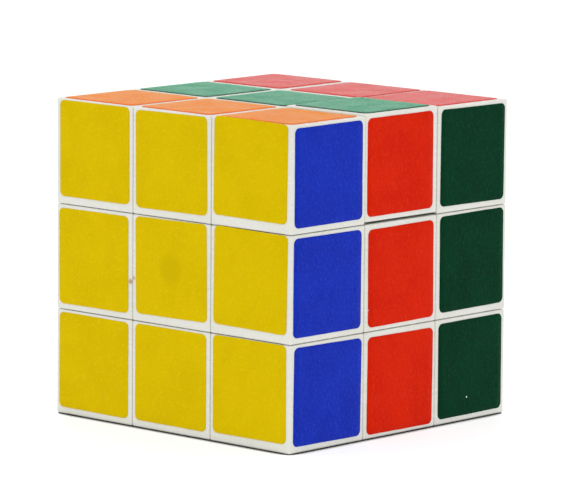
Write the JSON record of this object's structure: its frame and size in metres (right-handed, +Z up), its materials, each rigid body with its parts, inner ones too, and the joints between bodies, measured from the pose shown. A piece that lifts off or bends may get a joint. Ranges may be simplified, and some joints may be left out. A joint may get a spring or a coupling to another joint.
{
  "type": "twisty puzzle cube",
  "caption": "White three-layer twisty puzzle cube with coloured stickers. All six faces turn about a six-armed core with sprung centre screws.",
  "frame": {"origin": "the point where the six turning axes meet, at the cube's centre", "axes": "+Z up out of the top face, -Y out of the front face, +X out of the right face"},
  "size_m": [0.0568, 0.0568, 0.0572],
  "materials": {
    "shell_white": "gloss",
    "foot_white": "satin",
    "core_white": "satin",
    "screw_steel": "satin",
    "spring_steel": "satin",
    "sticker_yellow": "gloss",
    "sticker_white": "gloss",
    "sticker_orange": "gloss",
    "sticker_red": "gloss",
    "sticker_green": "gloss",
    "sticker_blue": "gloss"
  },
  "bodies": {
    "core": {"core_spider": "core_white", "centre_screws": "screw_steel", "spring_washers": "screw_steel", "centre_springs": "spring_steel"},
    "bottom_front_left_corner": {"bottom_front_left_corner_shell": "shell_white", "bottom_front_left_corner_foot": "foot_white"},
    "front_left_edge": {"front_left_edge_shell": "shell_white", "front_left_edge_foot": "foot_white"},
    "top_front_left_corner": {"top_front_left_corner_shell": "shell_white", "top_front_left_corner_foot": "foot_white"},
    "bottom_left_edge": {"bottom_left_edge_shell": "shell_white", "bottom_left_edge_foot": "foot_white"},
    "left_centre": {"left_centre_body": "shell_white", "left_centre_cap": "shell_white"},
    "top_left_edge": {"top_left_edge_shell": "shell_white", "top_left_edge_foot": "foot_white"},
    "bottom_back_left_corner": {"bottom_back_left_corner_shell": "shell_white", "bottom_back_left_corner_foot": "foot_white"},
    "back_left_edge": {"back_left_edge_shell": "shell_white", "back_left_edge_foot": "foot_white"},
    "top_back_left_corner": {"top_back_left_corner_shell": "shell_white", "top_back_left_corner_foot": "foot_white"},
    "bottom_front_edge": {"bottom_front_edge_shell": "shell_white", "bottom_front_edge_foot": "foot_white"},
    "front_centre": {"front_centre_body": "shell_white", "front_centre_cap": "shell_white"},
    "top_front_edge": {"top_front_edge_shell": "shell_white", "top_front_edge_foot": "foot_white"},
    "bottom_centre": {"bottom_centre_body": "shell_white", "bottom_centre_cap": "shell_white"},
    "top_centre": {"top_centre_body": "shell_white", "top_centre_cap": "shell_white"},
    "bottom_back_edge": {"bottom_back_edge_shell": "shell_white", "bottom_back_edge_foot": "foot_white"},
    "back_centre": {"back_centre_body": "shell_white", "back_centre_cap": "shell_white"},
    "top_back_edge": {"top_back_edge_shell": "shell_white", "top_back_edge_foot": "foot_white"},
    "bottom_front_right_corner": {"bottom_front_right_corner_shell": "shell_white", "bottom_front_right_corner_foot": "foot_white"},
    "front_right_edge": {"front_right_edge_shell": "shell_white", "front_right_edge_foot": "foot_white"},
    "top_front_right_corner": {"top_front_right_corner_shell": "shell_white", "top_front_right_corner_foot": "foot_white"},
    "bottom_right_edge": {"bottom_right_edge_shell": "shell_white", "bottom_right_edge_foot": "foot_white"},
    "right_centre": {"right_centre_body": "shell_white", "right_centre_cap": "shell_white"},
    "top_right_edge": {"top_right_edge_shell": "shell_white", "top_right_edge_foot": "foot_white"},
    "bottom_back_right_corner": {"bottom_back_right_corner_shell": "shell_white", "bottom_back_right_corner_foot": "foot_white"},
    "back_right_edge": {"back_right_edge_shell": "shell_white", "back_right_edge_foot": "foot_white"},
    "top_back_right_corner": {"top_back_right_corner_shell": "shell_white", "top_back_right_corner_foot": "foot_white"}
  },
  "joints": [
    {"name": "left_turn", "type": "hinge", "parent": "core", "child": "left_centre", "pos_m": [0, 0, 0], "axis": [-1, 0, 0], "continuous": true},
    {"name": "front_turn", "type": "hinge", "parent": "core", "child": "front_centre", "pos_m": [0, 0, 0], "axis": [0, -1, 0], "continuous": true},
    {"name": "bottom_turn", "type": "hinge", "parent": "core", "child": "bottom_centre", "pos_m": [0, 0, 0], "axis": [0, 0, -1], "continuous": true},
    {"name": "top_turn", "type": "hinge", "parent": "core", "child": "top_centre", "pos_m": [0, 0, 0], "axis": [0, 0, 1], "continuous": true},
    {"name": "back_turn", "type": "hinge", "parent": "core", "child": "back_centre", "pos_m": [0, 0, 0], "axis": [0, 1, 0], "continuous": true},
    {"name": "right_turn", "type": "hinge", "parent": "core", "child": "right_centre", "pos_m": [0, 0, 0], "axis": [1, 0, 0], "continuous": true},
    {"name": "front_left_edge_with_left", "type": "hinge", "parent": "front_centre", "child": "front_left_edge", "pos_m": [0, 0, 0], "axis": [-1, 0, 0], "continuous": true},
    {"name": "bottom_left_edge_with_bottom", "type": "hinge", "parent": "left_centre", "child": "bottom_left_edge", "pos_m": [0, 0, 0], "axis": [0, 0, -1], "continuous": true},
    {"name": "top_left_edge_with_top", "type": "hinge", "parent": "left_centre", "child": "top_left_edge", "pos_m": [0, 0, 0], "axis": [0, 0, 1], "continuous": true},
    {"name": "back_left_edge_with_left", "type": "hinge", "parent": "back_centre", "child": "back_left_edge", "pos_m": [0, 0, 0], "axis": [-1, 0, 0], "continuous": true},
    {"name": "bottom_front_edge_with_front", "type": "hinge", "parent": "bottom_centre", "child": "bottom_front_edge", "pos_m": [0, 0, 0], "axis": [0, -1, 0], "continuous": true},
    {"name": "top_front_edge_with_front", "type": "hinge", "parent": "top_centre", "child": "top_front_edge", "pos_m": [0, 0, 0], "axis": [0, -1, 0], "continuous": true},
    {"name": "bottom_back_edge_with_back", "type": "hinge", "parent": "bottom_centre", "child": "bottom_back_edge", "pos_m": [0, 0, 0], "axis": [0, 1, 0], "continuous": true},
    {"name": "top_back_edge_with_back", "type": "hinge", "parent": "top_centre", "child": "top_back_edge", "pos_m": [0, 0, 0], "axis": [0, 1, 0], "continuous": true},
    {"name": "front_right_edge_with_right", "type": "hinge", "parent": "front_centre", "child": "front_right_edge", "pos_m": [0, 0, 0], "axis": [1, 0, 0], "continuous": true},
    {"name": "bottom_right_edge_with_bottom", "type": "hinge", "parent": "right_centre", "child": "bottom_right_edge", "pos_m": [0, 0, 0], "axis": [0, 0, -1], "continuous": true},
    {"name": "top_right_edge_with_top", "type": "hinge", "parent": "right_centre", "child": "top_right_edge", "pos_m": [0, 0, 0], "axis": [0, 0, 1], "continuous": true},
    {"name": "back_right_edge_with_right", "type": "hinge", "parent": "back_centre", "child": "back_right_edge", "pos_m": [0, 0, 0], "axis": [1, 0, 0], "continuous": true},
    {"name": "bottom_front_left_corner_with_left", "type": "hinge", "parent": "bottom_front_edge", "child": "bottom_front_left_corner", "pos_m": [0, 0, 0], "axis": [-1, 0, 0], "continuous": true},
    {"name": "top_front_left_corner_with_left", "type": "hinge", "parent": "top_front_edge", "child": "top_front_left_corner", "pos_m": [0, 0, 0], "axis": [-1, 0, 0], "continuous": true},
    {"name": "bottom_back_left_corner_with_left", "type": "hinge", "parent": "bottom_back_edge", "child": "bottom_back_left_corner", "pos_m": [0, 0, 0], "axis": [-1, 0, 0], "continuous": true},
    {"name": "top_back_left_corner_with_left", "type": "hinge", "parent": "top_back_edge", "child": "top_back_left_corner", "pos_m": [0, 0, 0], "axis": [-1, 0, 0], "continuous": true},
    {"name": "bottom_front_right_corner_with_right", "type": "hinge", "parent": "bottom_front_edge", "child": "bottom_front_right_corner", "pos_m": [0, 0, 0], "axis": [1, 0, 0], "continuous": true},
    {"name": "top_front_right_corner_with_right", "type": "hinge", "parent": "top_front_edge", "child": "top_front_right_corner", "pos_m": [0, 0, 0], "axis": [1, 0, 0], "continuous": true},
    {"name": "bottom_back_right_corner_with_right", "type": "hinge", "parent": "bottom_back_edge", "child": "bottom_back_right_corner", "pos_m": [0, 0, 0], "axis": [1, 0, 0], "continuous": true},
    {"name": "top_back_right_corner_with_right", "type": "hinge", "parent": "top_back_edge", "child": "top_back_right_corner", "pos_m": [0, 0, 0], "axis": [1, 0, 0], "continuous": true}
  ],
  "couplings": [
    {"joint": "front_left_edge_with_left", "follows": "left_turn", "ratio": 1},
    {"joint": "bottom_left_edge_with_bottom", "follows": "bottom_turn", "ratio": 1},
    {"joint": "top_left_edge_with_top", "follows": "top_turn", "ratio": 1},
    {"joint": "back_left_edge_with_left", "follows": "left_turn", "ratio": 1},
    {"joint": "bottom_front_edge_with_front", "follows": "front_turn", "ratio": 1},
    {"joint": "top_front_edge_with_front", "follows": "front_turn", "ratio": 1},
    {"joint": "bottom_back_edge_with_back", "follows": "back_turn", "ratio": 1},
    {"joint": "top_back_edge_with_back", "follows": "back_turn", "ratio": 1},
    {"joint": "front_right_edge_with_right", "follows": "right_turn", "ratio": 1},
    {"joint": "bottom_right_edge_with_bottom", "follows": "bottom_turn", "ratio": 1},
    {"joint": "top_right_edge_with_top", "follows": "top_turn", "ratio": 1},
    {"joint": "back_right_edge_with_right", "follows": "right_turn", "ratio": 1},
    {"joint": "bottom_front_left_corner_with_left", "follows": "left_turn", "ratio": 1},
    {"joint": "top_front_left_corner_with_left", "follows": "left_turn", "ratio": 1},
    {"joint": "bottom_back_left_corner_with_left", "follows": "left_turn", "ratio": 1},
    {"joint": "top_back_left_corner_with_left", "follows": "left_turn", "ratio": 1},
    {"joint": "bottom_front_right_corner_with_right", "follows": "right_turn", "ratio": 1},
    {"joint": "top_front_right_corner_with_right", "follows": "right_turn", "ratio": 1},
    {"joint": "bottom_back_right_corner_with_right", "follows": "right_turn", "ratio": 1},
    {"joint": "top_back_right_corner_with_right", "follows": "right_turn", "ratio": 1}
  ]
}
